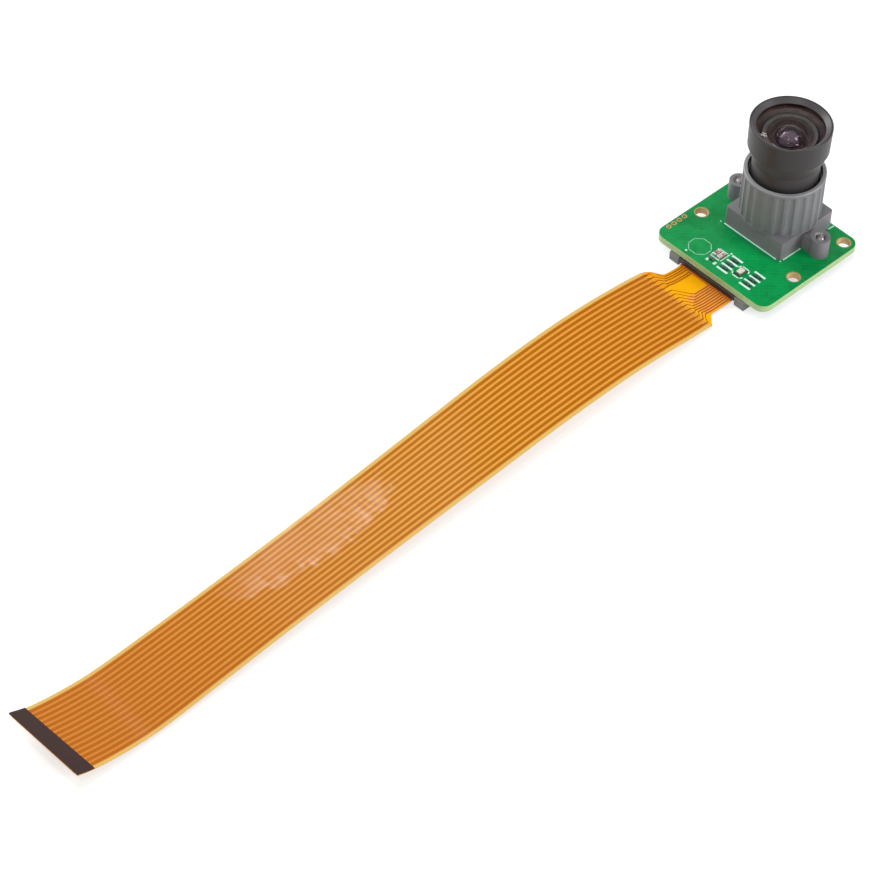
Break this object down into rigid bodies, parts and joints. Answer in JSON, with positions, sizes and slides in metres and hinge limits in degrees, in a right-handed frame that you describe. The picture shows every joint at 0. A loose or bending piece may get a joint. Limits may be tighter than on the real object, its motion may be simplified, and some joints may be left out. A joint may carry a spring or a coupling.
{
  "type": "camera module",
  "caption": "Small board camera: a screw-in lens in a fluted holder on a green circuit board, with a flat flexible cable latched into a connector under its front edge.",
  "frame": {"origin": "centre of the four mounting holes, on the underside of the board", "axes": "+Z along the lens axis towards the front glass; -Y towards the connector edge, where the flat cable leaves; X across the board"},
  "size_m": [0.025, 0.17, 0.0258],
  "materials": {
    "board": "glossy green solder mask on glass-fibre laminate",
    "holder": "matt dark grey moulded plastic",
    "screw": "plated steel",
    "barrel": "satin black anodised",
    "spacer": "matt black anodised",
    "glass_front": "clear glass with a purple coating",
    "glass_inner": "clear glass with a violet coating",
    "filter": "thin filter glass",
    "sensor_case": "dark ceramic",
    "die": "polished silicon",
    "connector": "moulded high-temperature plastic",
    "latch": "moulded black plastic",
    "contact": "gold-plated copper alloy",
    "tab": "tinned",
    "resistor": "black glaze with tinned ends",
    "capacitor": "ceramic with tinned ends",
    "crystal": "metal lid on a ceramic base",
    "regulator": "moulded black epoxy with tinned leads",
    "film": "amber polyimide film over copper tracks",
    "stiffener": "dark reddish-brown laminate",
    "tail_stiff": "amber laminate",
    "finger": "gold-plated copper"
  },
  "bodies": {
    "module": {"circuit_board": "board", "lens_holder": "holder", "holder_screws": "screw", "ir_filter": "filter", "sensor_package": "sensor_case", "sensor_die": "die", "sensor_cover": "filter", "connector_housing": "connector", "connector_contacts": "contact", "connector_tabs": "tab", "front_resistors": "resistor", "front_capacitors": "capacitor", "clock_crystal": "crystal", "back_resistors": "resistor", "back_capacitors": "capacitor", "voltage_regulators": "regulator", "flat_cable": "film", "tail_stiffener": "tail_stiff", "tail_fingers": "finger", "end_stiffener": "stiffener", "end_contacts": "finger"},
    "lens_stack": {"front_element": "glass_front", "front_spacer": "spacer", "second_element": "glass_inner", "middle_spacer": "spacer", "aperture_stop": "spacer", "third_element": "glass_inner", "rear_spacer": "spacer", "rear_element": "glass_inner"},
    "lens_shell": {"lens_barrel": "barrel", "front_retaining_ring": "barrel"},
    "latch": {"connector_latch": "latch"}
  },
  "joints": [
    {"name": "lens_travel", "type": "slide", "parent": "module", "child": "lens_stack", "axis": [0, 0, 1], "range_m": [-0.001, 0.001]},
    {"name": "lens_turn", "type": "hinge", "parent": "lens_stack", "child": "lens_shell", "pos_m": [0, 0.00125, 0.012], "axis": [0, 0, 1], "range_deg": [-720, 720]},
    {"name": "latch_slide", "type": "slide", "parent": "module", "child": "latch", "axis": [0, -1, 0], "range_m": [0, 0.0012]}
  ],
  "couplings": [
    {"joint": "lens_turn", "follows": "lens_travel", "rad_per_m": 12566}
  ]
}
